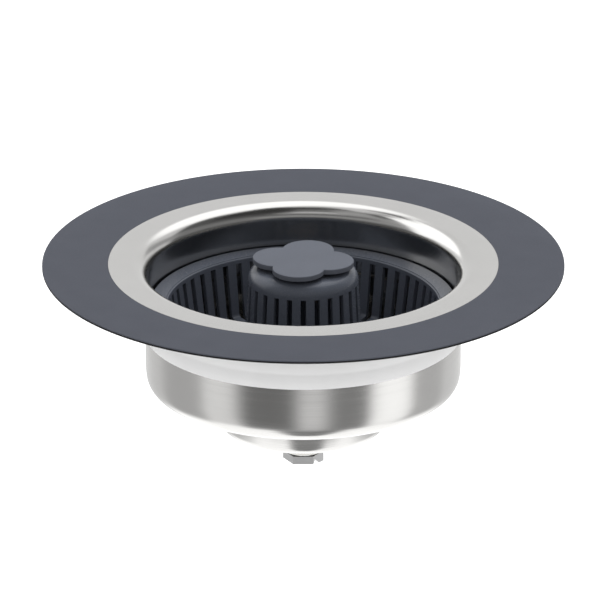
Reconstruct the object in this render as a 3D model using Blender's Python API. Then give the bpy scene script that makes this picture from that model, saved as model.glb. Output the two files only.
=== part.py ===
"""Pop-up sink drain: a steel cup with a wide flange on a dark seat ring, a strainer basket with a slotted
centre tower, and a spring-loaded stopper on a push-push core. Metres, +Z up. The origin is the centre of
the seat ring's underside, which lies on the sink floor. -Y faces the viewer."""

import math

import bmesh
import bpy

# Clearances
FIT_GAP = 0.0003
SEAT_GAP = 0.0001
OVERRUN = 0.002

# Seat ring
RING_OVERHANG = 0.01775
RING_THICKNESS = 0.0008
RING_EDGE = 0.0002
RING_STEPS = 72

# Steel cup, one drawn sheet
SHEET = 0.0004
FLANGE_FLAT = 0.0063
LIP_ROLL = 0.0045
CUP_RADIUS = 0.04205
CUP_DEPTH = 0.0346
CUP_FILLET = 0.0046
SWELL = 0.00045
SWELL_DROP = 0.0009
SUMP_RADIUS = 0.0224
SUMP_DEPTH = 0.0116
SUMP_FILLET = 0.0035
MOUTH_ROLL = 0.0015
CUP_STEPS = 60

# Outlet slots in the sump floor
OUTLET_COUNT = 6
OUTLET_INNER_MARGIN = 0.0006
OUTLET_OUTER_MARGIN = 0.0003
OUTLET_BRIDGE = 0.0032

# Soft sleeve round the cup wall
SLEEVE_WALL = 0.00075
SLEEVE_BOTTOM = 0.0185
SLEEVE_RIB = 0.0042
SLEEVE_BULGE = 0.00015
SLEEVE_EDGE = 0.0004

# Strainer basket
BASKET_GAP = 0.0005
RIM_DEPTH = 0.01125
RIM_SLOPE = 0.0002
RIM_WIDTH = 0.00415
RIM_THICKNESS = 0.0015
RIM_EDGE = 0.0004
BASKET_WALL = 0.0013
BASKET_STEP = 0.00035
BASKET_TAPER = math.radians(8)
BASKET_FLOOR = 0.0012
BASKET_DROP = 0.0008
BASKET_EDGE = 0.0009
WALL_SLOTS = 54
WALL_SLOT_WIDTH = 0.0017
WALL_SLOT_FACING = math.radians(4.5)
WALL_SLOT_WRAP = 0.0022
FLOOR_SLOTS = 27
FLOOR_SLOT_WIDTH = 0.0017
FLOOR_SLOT_MARGIN = 0.0018

# Socket and spigot on the basket floor
SOCKET_WALL = 0.0015
SOCKET_HEIGHT = 0.0062
SPIGOT_WALL = 0.0012
SPIGOT_HEIGHT = 0.0030

# Centre tower
TOWER_DROP = 0.0004
TOWER_RADIUS = 0.0149
TOWER_FILLET = 0.0034
TOWER_DRAFT = math.radians(3)
TOWER_WALL = 0.0013
TOWER_SLOTS = 25
TOWER_SLOT_WIDTH = 0.00135
TOWER_SLOT_TOP = 0.0040
TOWER_SLOT_MARGIN = 0.0020

# Knob
KNOB_RISE = 0.0020
KNOB_THICKNESS = 0.0014
KNOB_LOBE = 0.0070
KNOB_REACH = 0.0067
KNOB_TURN = math.radians(-11)
KNOB_NECK = 0.0055
KNOB_SPIGOT = 0.0027
KNOB_LOBES = 4

# Knob screw
SCREW_SHANK = 0.0012
SCREW_LEDGE = 0.0009
SCREW_HEAD_HEIGHT = 0.0018
SCREW_SLOT = 0.0008

# Stopper disc and its seal
TRAVEL = 0.0055
SEAL_HEIGHT = 0.0032
SEAL_GAP = 0.0004
SEAL_LIP = 0.0005
SEAL_GRIP = 0.0019
SEAL_WALL = 0.00165
PLATE_THICKNESS = 0.0016
PLATE_BOSS = 0.0010
PLATE_BOSS_WALL = 0.0010

# Post and its O-ring
POST_RADIUS = 0.0050
POST_HEIGHT = 0.0085
POST_GROOVE_DEPTH = 0.0010
POST_GROOVE_WIDTH = 0.0020
POST_GROOVE_DROP = 0.0012
POST_TOP_EDGE = 0.0006
POST_RING_WIRE = 0.0006

# Rod
ROD_RADIUS = 0.0025
ROD_REACH = 0.0047
ROD_GROOVE_DEPTH = 0.0004
ROD_TIP = 0.0005

# Latch
CAM_BODY = 0.0008
CAM_TEETH = 8
CAM_TOOTH = 0.0007
ROTOR_BODY = 0.0012
CLIP_THICKNESS = 0.0006
CLIP_WIDTH = 0.0015
CLIP_MOUTH = math.radians(70)
STEEP_SHARE = 0.06

# Core housing
BARREL_BORE = 0.0048
BARREL_WALL = 0.0032
HOUSING_LEDGE = 0.0040
HOUSING_FLANGE_HEIGHT = 0.0015
HOUSING_DROP = 0.00035
STUB_WALL = 0.0012
STUB_FLOOR = 0.0024
CAP_HEIGHT = 0.0010
CAP_SPIGOT = 0.0008
GASKET_HEIGHT = 0.0010

# Fastening under the sump
WASHER_WIDTH = 0.0035
WASHER_HEIGHT = 0.0010
LOCK_NUT_WALL = 0.0014
LOCK_NUT_HEIGHT = 0.0025

# Stop washer and end nut on the rod
STOP_WIDTH = 0.0026
STOP_HEIGHT = 0.0017
END_NUT_WALL = 0.00226
END_NUT_HEIGHT = 0.0022
END_NUT_DIP = 0.0008
END_NUT_NOTCH = 0.0015
END_NUT_SPLIT = math.radians(-57)
END_NUT_RAMP = math.radians(30)
END_NUT_DIP_SPAN = math.radians(120)

# Return spring
SPRING_ROOM = 0.0026
SPRING_WIRE = 0.0004
SPRING_TURNS = 4.5
SPRING_END_TURNS = 0.75
SPRING_END_PITCH = 0.0013
POINTS_A_TURN = 10

# Roundness of the small pieces
ARC_STEPS = 3
SMALL_FILLET = 0.0010
SMALL_STEPS = 24
SEAL_STEPS = 36
KNOB_STEPS = 10
HEX_SIDES = 6
SMOOTH_ANGLE = math.radians(35)
MERGE = 0.000001
FULL = 2 * math.pi
FAR = math.pi / 2
NEAR = -math.pi / 2

# Radii that several pieces share
CUP_INNER = CUP_RADIUS - SHEET
LIP_EDGE = CUP_INNER + LIP_ROLL
FLANGE_RADIUS = LIP_EDGE + FLANGE_FLAT
RING_RADIUS = FLANGE_RADIUS + RING_OVERHANG
SLEEVE_INNER = CUP_RADIUS + SEAT_GAP
SLEEVE_RADIUS = SLEEVE_INNER + SLEEVE_WALL
SUMP_INNER = SUMP_RADIUS - SHEET
RIM_RADIUS = CUP_INNER - BASKET_GAP
RIM_INNER = RIM_RADIUS - RIM_WIDTH
BASKET_MOUTH = RIM_INNER - BASKET_STEP
SOCKET_INNER = POST_RADIUS + FIT_GAP + FIT_GAP / 2
SCREW_HEAD = KNOB_SPIGOT + SCREW_LEDGE
ROD_BORE = ROD_RADIUS + FIT_GAP
BARREL_RADIUS = BARREL_BORE + BARREL_WALL
HOUSING_FLANGE = BARREL_RADIUS + HOUSING_LEDGE
STUB_RADIUS = BARREL_BORE + STUB_WALL
CORE_HOLE = STUB_RADIUS + FIT_GAP
CAM_RADIUS = BARREL_BORE - FIT_GAP
SPRING_RADIUS = BARREL_RADIUS + SPRING_ROOM
SEAL_RADIUS = SUMP_INNER - SEAL_GAP
PLATE_RADIUS = SEAL_RADIUS - SEAL_WALL - FIT_GAP

# Levels that several pieces share
RING_TOP = RING_THICKNESS
SEAT_TOP = RING_TOP - SHEET - SEAT_GAP
FLANGE_TOP = RING_TOP
TOWER_TOP = -TOWER_DROP
CUP_BOTTOM = -CUP_DEPTH
CUP_FLOOR = CUP_BOTTOM + SHEET
SUMP_BOTTOM = CUP_BOTTOM - SUMP_DEPTH
SUMP_FLOOR = SUMP_BOTTOM + SHEET

RIM_TOP = FLANGE_TOP - RIM_DEPTH
BASKET_TOP_INNER = RIM_TOP - RIM_SLOPE
BASKET_BOTTOM = CUP_FLOOR + TRAVEL + BASKET_DROP
BASKET_FLOOR_TOP = BASKET_BOTTOM + BASKET_FLOOR

SEAL_TOP = BASKET_BOTTOM - FIT_GAP
SEAL_BOTTOM = SEAL_TOP - SEAL_HEIGHT
PLATE_TOP = SEAL_TOP - (SEAL_HEIGHT - PLATE_THICKNESS) / 2
PLATE_BOTTOM = PLATE_TOP - PLATE_THICKNESS

CAP_TOP = PLATE_BOTTOM - TRAVEL - HOUSING_DROP
BARREL_TOP = CAP_TOP - CAP_HEIGHT - FIT_GAP
GASKET_TOP = SUMP_FLOOR + FIT_GAP + GASKET_HEIGHT
FLANGE_UNDERSIDE = GASKET_TOP + FIT_GAP
HOUSING_FLANGE_TOP = FLANGE_UNDERSIDE + HOUSING_FLANGE_HEIGHT

CAM_TOP = CAP_TOP - CAP_HEIGHT - CAP_SPIGOT - FIT_GAP
CAM_BASE = CAM_TOP - CAM_BODY
ROTOR_BASE = CAM_BASE - CAM_TOOTH - FIT_GAP - CAM_TOOTH
ROTOR_BOTTOM = ROTOR_BASE - ROTOR_BODY
CLIP_TOP = ROTOR_BOTTOM - FIT_GAP
BORE_BOTTOM = CLIP_TOP - CLIP_THICKNESS - TRAVEL - HOUSING_DROP
STUB_BOTTOM = BORE_BOTTOM - STUB_FLOOR

POST_BOTTOM = PLATE_TOP + FIT_GAP
POST_TOP = POST_BOTTOM + POST_HEIGHT
GROOVE_TOP = POST_TOP - POST_GROOVE_DROP
GROOVE_BOTTOM = GROOVE_TOP - POST_GROOVE_WIDTH
ROD_TOP = PLATE_TOP + ROD_REACH

WASHER_TOP = SUMP_BOTTOM - FIT_GAP
LOCK_NUT_TOP = WASHER_TOP - WASHER_HEIGHT - FIT_GAP
STOP_TOP = STUB_BOTTOM - FIT_GAP
END_NUT_TOP = STOP_TOP - STOP_HEIGHT - FIT_GAP
END_NUT_BOTTOM = END_NUT_TOP - END_NUT_HEIGHT
ROD_BOTTOM = END_NUT_BOTTOM + ROD_TIP


def clear_scene():
    for obj in list(bpy.data.objects):
        bpy.data.objects.remove(obj, do_unlink=True)


def material(name, colour, roughness, metallic):
    made = bpy.data.materials.new(name)
    made.use_nodes = True
    shader = made.node_tree.nodes["Principled BSDF"]
    shader.inputs["Base Color"].default_value = (*colour, 1)
    shader.inputs["Roughness"].default_value = roughness
    shader.inputs["Metallic"].default_value = metallic
    return made


def rounded_path(corners, closed):
    """Points and unit normals along a path whose corners (r, z, fillet radius) are rounded by arcs."""
    path = []
    count = len(corners)
    for index, (r, z, radius) in enumerate(corners):
        before = corners[index - 1]
        after = corners[(index + 1) % count]
        come = unit(r - before[0], z - before[1])
        leave = unit(after[0] - r, after[1] - z)
        if not closed and index == 0:
            path.append(((r, z), normal_of(leave)))
            continue
        if not closed and index == count - 1:
            path.append(((r, z), normal_of(come)))
            continue
        turn = math.atan2(come[0] * leave[1] - come[1] * leave[0], come[0] * leave[0] + come[1] * leave[1])
        if radius == 0 or turn == 0:
            path.append(((r, z), normal_of(unit(come[0] + leave[0], come[1] + leave[1]))))
            continue
        reach = radius * math.tan(abs(turn) / 2)
        start = (r - come[0] * reach, z - come[1] * reach)
        side = math.copysign(1, turn)
        first = normal_of(come)
        centre = (start[0] + side * first[0] * radius, start[1] + side * first[1] * radius)
        steps = 1 if radius <= SMALL_FILLET else max(2, round(ARC_STEPS * abs(turn) / FAR))
        for step in range(steps + 1):
            angle = turn * step / steps
            normal = turned_by(first, angle)
            point = (centre[0] - side * normal[0] * radius, centre[1] - side * normal[1] * radius)
            path.append((point, normal))
    return path


def unit(x, y):
    length = math.hypot(x, y)
    return (x / length, y / length)


def normal_of(direction):
    return (-direction[1], direction[0])


def turned_by(vector, angle):
    cosine = math.cos(angle)
    sine = math.sin(angle)
    return (vector[0] * cosine - vector[1] * sine, vector[0] * sine + vector[1] * cosine)


def rounded(corners):
    return [point for point, normal in rounded_path(corners, closed=True)]


def sheet_outline(corners, thickness):
    """Outline of a sheet of even thickness, whose middle follows the corners."""
    path = rounded_path(corners, closed=False)
    half = thickness / 2
    one_side = [(p[0] + n[0] * half, p[1] + n[1] * half) for p, n in path]
    other_side = [(p[0] - n[0] * half, p[1] - n[1] * half) for p, n in path]
    return one_side + other_side[::-1]


def ring_corners(inner, outer, low, high, edge=0):
    return [(outer, high, edge), (outer, low, edge), (inner, low, edge), (inner, high, edge)]


def finish_mesh(name, mesh_bm, skin):
    bmesh.ops.remove_doubles(mesh_bm, verts=mesh_bm.verts, dist=MERGE)
    bmesh.ops.recalc_face_normals(mesh_bm, faces=mesh_bm.faces)
    mesh = bpy.data.meshes.new(name)
    mesh_bm.to_mesh(mesh)
    mesh_bm.free()
    mesh.shade_smooth()
    mesh.set_sharp_from_angle(angle=SMOOTH_ANGLE)
    obj = bpy.data.objects.new(name, mesh)
    bpy.context.collection.objects.link(obj)
    if skin:
        mesh.materials.append(skin)
    return obj


def turned(name, outline, skin, steps=SMALL_STEPS, facing=FAR):
    """An outline of (r, z) points turned about Z. One facet is centred on the facing angle."""
    shape = bmesh.new()
    start = facing - FULL / steps / 2
    verts = [shape.verts.new((r * math.cos(start), r * math.sin(start), z)) for r, z in outline]
    edges = [shape.edges.new((verts[i - 1], verts[i])) for i in range(len(verts))]
    bmesh.ops.spin(
        shape,
        geom=verts + edges,
        cent=(0, 0, 0),
        axis=(0, 0, 1),
        angle=FULL,
        steps=steps,
        use_merge=True,
    )
    return finish_mesh(name, shape, skin)


def prism(name, outline, low, high, skin):
    """A flat outline of (x, y) points raised from low to high."""
    shape = bmesh.new()
    verts = [shape.verts.new((x, y, low)) for x, y in outline]
    face = shape.faces.new(verts)
    raised = bmesh.ops.extrude_face_region(shape, geom=[face])["geom"]
    moved = [item for item in raised if isinstance(item, bmesh.types.BMVert)]
    bmesh.ops.translate(shape, verts=moved, vec=(0, 0, high - low))
    return finish_mesh(name, shape, skin)


def joined_prisms(name, outlines, low, high):
    """Several separate prisms in one guide mesh."""
    shape = bmesh.new()
    for outline in outlines:
        verts = [shape.verts.new((x, y, low)) for x, y in outline]
        face = shape.faces.new(verts)
        raised = bmesh.ops.extrude_face_region(shape, geom=[face])["geom"]
        moved = [item for item in raised if isinstance(item, bmesh.types.BMVert)]
        bmesh.ops.translate(shape, verts=moved, vec=(0, 0, high - low))
    return finish_mesh(name, shape, None)


def wavy_ring(name, inner, radii, flat, columns, skin):
    """A ring between a flat face and one whose level changes. Each column is an angle and its level there."""
    shape = bmesh.new()
    loops = []
    for (angle, level), outer in zip(columns, radii):
        cosine = math.cos(angle)
        sine = math.sin(angle)
        corners = ((inner, flat), (outer, flat), (outer, level), (inner, level))
        loops.append([shape.verts.new((r * cosine, r * sine, z)) for r, z in corners])
    for index, loop in enumerate(loops):
        ahead = loops[(index + 1) % len(loops)]
        for i in range(len(loop)):
            j = (i + 1) % len(loop)
            shape.faces.new((loop[i], loop[j], ahead[j], ahead[i]))
    return finish_mesh(name, shape, skin)


def cut(target, cutter):
    cutter.hide_render = True
    cutter.display_type = "WIRE"
    boolean = target.modifiers.new(cutter.name, "BOOLEAN")
    boolean.operation = "DIFFERENCE"
    boolean.solver = "EXACT"
    boolean.object = cutter


def radial_slots(name, count, facing, inner, outer, width, low, high):
    """Cutter of narrow boxes that point outwards, spaced evenly from the facing angle."""
    outlines = []
    half = width / 2
    for index in range(count):
        angle = facing + FULL * index / count
        corners = ((inner, -half), (outer, -half), (outer, half), (inner, half))
        outlines.append([turned_by(corner, angle) for corner in corners])
    return joined_prisms(name, outlines, low, high)


def arc_slots(name, count, facing, middle, width, span, low, high):
    """Cutter of round-ended slots that follow a circle."""
    outlines = []
    half = width / 2
    end_steps = HEX_SIDES
    for index in range(count):
        angle = facing + FULL * index / count
        first = angle - span / 2
        last = angle + span / 2
        outline = []
        for step in range(end_steps + 1):
            turn = math.pi * step / end_steps
            centre = turned_by((middle, 0), last)
            edge = turned_by((half, 0), last + turn)
            outline.append((centre[0] + edge[0], centre[1] + edge[1]))
        outline.append(turned_by((middle - half, 0), angle))
        for step in range(end_steps + 1):
            turn = math.pi * step / end_steps
            centre = turned_by((middle, 0), first)
            edge = turned_by((half, 0), first + math.pi + turn)
            outline.append((centre[0] + edge[0], centre[1] + edge[1]))
        outline.append(turned_by((middle + half, 0), angle))
        outlines.append(outline)
    return joined_prisms(name, outlines, low, high)


def hexagon_radius(angle, flat):
    """Distance from the centre to a hexagon's side, with a corner on +X and flats at the given distance."""
    side = FULL / HEX_SIDES
    within = (angle % side) - side / 2
    return flat / math.cos(within)


def make_seat_ring(skin):
    """The flange lies in a recess of the ring, level with its top."""
    recess = FLANGE_RADIUS + SEAT_GAP
    outline = [
        (RING_RADIUS - RING_EDGE, RING_TOP),
        (RING_RADIUS, RING_TOP - RING_EDGE),
        (RING_RADIUS, RING_EDGE),
        (RING_RADIUS - RING_EDGE, 0),
        (LIP_EDGE, 0),
        (LIP_EDGE, SEAT_TOP),
        (recess, SEAT_TOP),
        (recess, RING_TOP),
    ]
    return turned("seat_ring", outline, skin, RING_STEPS)


def make_drain_cup(skin):
    half = SHEET / 2
    flange_middle = FLANGE_TOP - half
    neck_middle = CUP_RADIUS - half
    body_middle = neck_middle + SWELL
    swell_top = -SLEEVE_BOTTOM - FIT_GAP
    floor_middle = CUP_BOTTOM + half
    sump_middle = SUMP_RADIUS - half
    sump_floor_middle = SUMP_BOTTOM + half
    corners = [
        (FLANGE_RADIUS, flange_middle, 0),
        (neck_middle, flange_middle, LIP_ROLL - half),
        (neck_middle, swell_top, 0),
        (body_middle, swell_top - SWELL_DROP, 0),
        (body_middle, floor_middle, CUP_FILLET - half),
        (sump_middle, floor_middle, MOUTH_ROLL - half),
        (sump_middle, sump_floor_middle, SUMP_FILLET - half),
        (CORE_HOLE, sump_floor_middle, 0),
    ]
    cup = turned("drain_cup", sheet_outline(corners, SHEET), skin, CUP_STEPS)
    slot_inner = HOUSING_FLANGE + OUTLET_INNER_MARGIN
    slot_outer = SUMP_INNER - SUMP_FILLET + SHEET - OUTLET_OUTER_MARGIN
    slot_ring = (slot_inner + slot_outer) / 2
    slot_width = slot_outer - slot_inner
    outlets = arc_slots(
        "outlet_cutter",
        OUTLET_COUNT,
        FAR,
        slot_ring,
        slot_width,
        FULL / OUTLET_COUNT - (OUTLET_BRIDGE + slot_width) / slot_ring,
        SUMP_BOTTOM - OVERRUN,
        SUMP_FLOOR + OVERRUN,
    )
    cut(cup, outlets)
    return cup


def make_sealing_sleeve(skin):
    bottom = -SLEEVE_BOTTOM
    top = FLANGE_TOP - LIP_ROLL
    ribs = math.floor((top - bottom) / SLEEVE_RIB)
    outline = [(SLEEVE_INNER, top), (SLEEVE_INNER, bottom), (SLEEVE_RADIUS - SLEEVE_EDGE, bottom)]
    for rib in range(ribs):
        low = bottom + rib * SLEEVE_RIB
        valley = SLEEVE_RADIUS - SLEEVE_BULGE
        outline.append((valley, low + SLEEVE_EDGE))
        outline.append((SLEEVE_RADIUS + SLEEVE_BULGE, low + SLEEVE_RIB / 2))
    outline.append((SLEEVE_RADIUS - SLEEVE_EDGE, top))
    return turned("sealing_sleeve", outline, skin, CUP_STEPS)


def basket_inner_at(level):
    return BASKET_MOUTH - (BASKET_TOP_INNER - level) * math.tan(BASKET_TAPER)


def tower_radius_at(level):
    return TOWER_RADIUS + (TOWER_TOP - TOWER_FILLET - level) * math.tan(TOWER_DRAFT)


def make_strainer_basket(skin):
    floor_inner = basket_inner_at(BASKET_FLOOR_TOP)
    outer_top = basket_inner_at(RIM_TOP - RIM_THICKNESS) + BASKET_WALL
    outer_bottom = basket_inner_at(BASKET_BOTTOM) + BASKET_WALL
    tower_inner = tower_radius_at(BASKET_FLOOR_TOP) - TOWER_WALL
    spigot_outer = tower_inner - FIT_GAP
    spigot_top = BASKET_FLOOR_TOP + SPIGOT_HEIGHT
    socket_outer = SOCKET_INNER + SOCKET_WALL
    socket_top = BASKET_FLOOR_TOP + SOCKET_HEIGHT
    corners = [
        (RIM_RADIUS, RIM_TOP, RING_EDGE),
        (RIM_RADIUS, RIM_TOP - RIM_THICKNESS, 0),
        (outer_top, RIM_TOP - RIM_SLOPE - RIM_THICKNESS, 0),
        (outer_bottom, BASKET_BOTTOM, BASKET_EDGE),
        (SOCKET_INNER, BASKET_BOTTOM, 0),
        (SOCKET_INNER, socket_top, 0),
        (socket_outer, socket_top, 0),
        (socket_outer, BASKET_FLOOR_TOP, 0),
        (spigot_outer - SPIGOT_WALL, BASKET_FLOOR_TOP, 0),
        (spigot_outer - SPIGOT_WALL, spigot_top, 0),
        (spigot_outer, spigot_top, 0),
        (spigot_outer, BASKET_FLOOR_TOP, 0),
        (floor_inner, BASKET_FLOOR_TOP, BASKET_EDGE),
        (basket_inner_at(BASKET_TOP_INNER), BASKET_TOP_INNER - RIM_THICKNESS, 0),
        (RIM_INNER, BASKET_TOP_INNER, RIM_EDGE),
    ]
    facing = FAR - WALL_SLOT_FACING
    basket = turned("strainer_basket", rounded(corners), skin, WALL_SLOTS, facing)
    wrap_end = floor_inner - WALL_SLOT_WRAP
    wall_slots = radial_slots(
        "wall_slot_cutter",
        WALL_SLOTS,
        facing,
        wrap_end,
        RIM_INNER + OVERRUN,
        WALL_SLOT_WIDTH,
        BASKET_BOTTOM - OVERRUN,
        BASKET_TOP_INNER - RIM_THICKNESS,
    )
    cut(basket, wall_slots)
    floor_slots = radial_slots(
        "floor_slot_cutter",
        FLOOR_SLOTS,
        facing,
        tower_inner + TOWER_WALL + FLOOR_SLOT_MARGIN,
        wrap_end - FLOOR_SLOT_MARGIN,
        FLOOR_SLOT_WIDTH,
        BASKET_BOTTOM - OVERRUN,
        BASKET_FLOOR_TOP + OVERRUN,
    )
    cut(basket, floor_slots)
    return basket


def make_centre_tower(skin):
    foot = BASKET_FLOOR_TOP + FIT_GAP
    under_top = TOWER_TOP - TOWER_WALL
    inner_fillet = TOWER_FILLET - TOWER_WALL
    hole = KNOB_SPIGOT + FIT_GAP
    corners = [
        (hole, TOWER_TOP, 0),
        (tower_radius_at(TOWER_TOP), TOWER_TOP, TOWER_FILLET),
        (tower_radius_at(foot), foot, 0),
        (tower_radius_at(foot) - TOWER_WALL, foot, 0),
        (tower_radius_at(under_top) - TOWER_WALL, under_top, inner_fillet),
        (hole, under_top, 0),
    ]
    tower = turned("centre_tower", rounded(corners), skin, 2 * TOWER_SLOTS, NEAR)
    slots = radial_slots(
        "tower_slot_cutter",
        TOWER_SLOTS,
        NEAR,
        TOWER_RADIUS - TOWER_WALL - OVERRUN,
        tower_radius_at(foot) + OVERRUN,
        TOWER_SLOT_WIDTH,
        foot + TOWER_SLOT_MARGIN,
        TOWER_TOP - TOWER_SLOT_TOP,
    )
    cut(tower, slots)
    return tower


def knob_outline():
    """Four round lobes whose circles meet between them."""
    quarter = FULL / KNOB_LOBES
    valley_x = KNOB_REACH * math.cos(quarter / 2)
    rise = KNOB_REACH * math.sin(quarter / 2)
    valley = valley_x + math.sqrt(KNOB_LOBE ** 2 - rise ** 2)
    meet = turned_by((valley, 0), quarter / 2)
    reach = math.atan2(meet[1], meet[0] - KNOB_REACH)
    outline = []
    for lobe in range(KNOB_LOBES):
        middle = FAR + KNOB_TURN + lobe * quarter
        for step in range(KNOB_STEPS):
            angle = -reach + 2 * reach * (step + 1 / 2) / KNOB_STEPS
            edge = turned_by((KNOB_LOBE, 0), angle)
            outline.append(turned_by((KNOB_REACH + edge[0], edge[1]), middle))
    return outline


def make_knob(skin):
    bottom = KNOB_RISE - KNOB_THICKNESS
    spigot_bottom = TOWER_TOP - TOWER_WALL
    knob = prism("knob", knob_outline(), bottom, KNOB_RISE, skin)
    bore = SCREW_SHANK + FIT_GAP
    bore_top = bottom - FIT_GAP
    corners = [
        (0, KNOB_RISE - KNOB_THICKNESS / 2, 0),
        (KNOB_NECK, KNOB_RISE - KNOB_THICKNESS / 2, 0),
        (KNOB_NECK, TOWER_TOP + FIT_GAP, 0),
        (KNOB_SPIGOT, TOWER_TOP + FIT_GAP, 0),
        (KNOB_SPIGOT, spigot_bottom, 0),
        (bore, spigot_bottom, 0),
        (bore, bore_top, 0),
        (0, bore_top, 0),
    ]
    stem = turned("knob_stem_guide", [(r, z) for r, z, edge in corners], None)
    stem.hide_render = True
    stem.display_type = "WIRE"
    union = knob.modifiers.new("stem", "BOOLEAN")
    union.operation = "UNION"
    union.solver = "EXACT"
    union.object = stem
    return knob


def make_knob_screw(skin):
    head_top = TOWER_TOP - TOWER_WALL - FIT_GAP
    tip = KNOB_RISE - KNOB_THICKNESS - FIT_GAP - FIT_GAP
    outline = [
        (0, tip),
        (SCREW_SHANK, tip),
        (SCREW_SHANK, head_top),
        (SCREW_HEAD, head_top),
        (SCREW_HEAD - SCREW_SLOT, head_top - SCREW_HEAD_HEIGHT),
        (0, head_top - SCREW_HEAD_HEIGHT),
    ]
    screw = turned("knob_screw", outline, skin)
    low = head_top - SCREW_HEAD_HEIGHT - OVERRUN
    high = head_top - SCREW_HEAD_HEIGHT + SCREW_SLOT
    reach = SCREW_HEAD + OVERRUN
    half = SCREW_SLOT / 2
    outlines = [[(-reach, -half), (reach, -half), (reach, half), (-reach, half)]]
    cut(screw, joined_prisms("screw_slot_cutter", outlines, low, high))
    return screw


def make_stopper_plate(skin):
    flat_radius = SPRING_RADIUS * math.cos(math.pi / POINTS_A_TURN)
    boss_outer = flat_radius - SPRING_WIRE - FIT_GAP
    boss_inner = boss_outer - PLATE_BOSS_WALL
    outline = [
        (ROD_BORE, PLATE_TOP),
        (PLATE_RADIUS, PLATE_TOP),
        (PLATE_RADIUS, PLATE_BOTTOM),
        (boss_outer, PLATE_BOTTOM),
        (boss_outer, PLATE_BOTTOM - PLATE_BOSS),
        (boss_inner, PLATE_BOTTOM - PLATE_BOSS),
        (boss_inner, PLATE_BOTTOM),
        (ROD_BORE, PLATE_BOTTOM),
    ]
    return turned("stopper_plate", outline, skin, SEAL_STEPS)


def make_stopper_seal(skin):
    groove = PLATE_RADIUS + FIT_GAP
    mouth = PLATE_RADIUS - SEAL_GRIP
    corners = [
        (SEAL_RADIUS, SEAL_TOP, SEAL_LIP),
        (SEAL_RADIUS, SEAL_BOTTOM, SEAL_LIP),
        (mouth, SEAL_BOTTOM, 0),
        (mouth, SEAL_BOTTOM + SEAL_LIP, 0),
        (groove, SEAL_BOTTOM + SEAL_LIP, 0),
        (groove, SEAL_TOP - SEAL_LIP, 0),
        (mouth, SEAL_TOP - SEAL_LIP, 0),
        (mouth, SEAL_TOP, 0),
    ]
    return turned("stopper_seal", rounded(corners), skin, SEAL_STEPS)


def make_plunger_post(skin):
    groove = POST_RADIUS - POST_GROOVE_DEPTH
    bore_top = ROD_TOP + FIT_GAP
    corners = [
        (0, POST_TOP, 0),
        (POST_RADIUS, POST_TOP, POST_TOP_EDGE),
        (POST_RADIUS, GROOVE_TOP, 0),
        (groove, GROOVE_TOP, 0),
        (groove, GROOVE_BOTTOM, 0),
        (POST_RADIUS, GROOVE_BOTTOM, 0),
        (POST_RADIUS, POST_BOTTOM, 0),
        (ROD_BORE, POST_BOTTOM, 0),
        (ROD_BORE, bore_top, 0),
        (0, bore_top, 0),
    ]
    return turned("plunger_post", rounded(corners), skin)


def make_post_ring(skin):
    middle_z = (GROOVE_TOP + GROOVE_BOTTOM) / 2
    middle_r = SOCKET_INNER - FIT_GAP / 2 - POST_RING_WIRE
    sides = 2 * ARC_STEPS
    outline = []
    for side in range(sides):
        angle = -FULL * side / sides
        edge = turned_by((POST_RING_WIRE, 0), angle)
        outline.append((middle_r + edge[0], middle_z + edge[1]))
    return turned("post_ring", outline, skin)


def make_plunger_rod(skin):
    groove_top = CLIP_TOP + FIT_GAP / 2
    groove_bottom = CLIP_TOP - CLIP_THICKNESS - FIT_GAP / 2
    groove = ROD_RADIUS - ROD_GROOVE_DEPTH
    outline = [
        (0, ROD_TOP),
        (ROD_RADIUS - ROD_TIP, ROD_TOP),
        (ROD_RADIUS, ROD_TOP - ROD_TIP),
        (ROD_RADIUS, groove_top),
        (groove, groove_top),
        (groove, groove_bottom),
        (ROD_RADIUS, groove_bottom),
        (ROD_RADIUS, ROD_BOTTOM + ROD_TIP),
        (ROD_RADIUS - ROD_TIP, ROD_BOTTOM),
        (0, ROD_BOTTOM),
    ]
    return turned("plunger_rod", outline, skin)


def tooth_columns(low, high, teeth):
    """Levels round a crown of saw teeth: each climbs slowly and drops steeply."""
    columns = []
    pitch = FULL / teeth
    for tooth in range(teeth):
        start = tooth * pitch
        columns.append((start, low))
        columns.append((start + pitch / 2, (low + high) / 2))
        columns.append((start + pitch * (1 - STEEP_SHARE), high))
    return columns


def make_push_cam(skin):
    columns = tooth_columns(CAM_BASE - CAM_TOOTH, CAM_BASE, CAM_TEETH)
    return wavy_ring("push_cam", ROD_BORE, [CAM_RADIUS] * len(columns), CAM_TOP, columns, skin)


def make_ratchet_rotor(skin):
    columns = tooth_columns(ROTOR_BASE, ROTOR_BASE + CAM_TOOTH, CAM_TEETH)
    return wavy_ring("ratchet_rotor", ROD_BORE, [CAM_RADIUS] * len(columns), ROTOR_BOTTOM, columns, skin)


def make_rotor_clip(skin):
    inner = ROD_RADIUS - ROD_GROOVE_DEPTH + FIT_GAP / 2
    span = FULL - CLIP_MOUTH
    steps = SMALL_STEPS // 2
    first = FAR + CLIP_MOUTH / 2
    outer = ROD_RADIUS + CLIP_WIDTH
    outer_arc = [turned_by((outer, 0), first + span * step / steps) for step in range(steps + 1)]
    inner_arc = [turned_by((inner, 0), first + span * step / steps) for step in range(steps + 1)]
    outline = outer_arc + inner_arc[::-1]
    return prism("rotor_clip", outline, CLIP_TOP - CLIP_THICKNESS, CLIP_TOP, skin)


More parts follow.
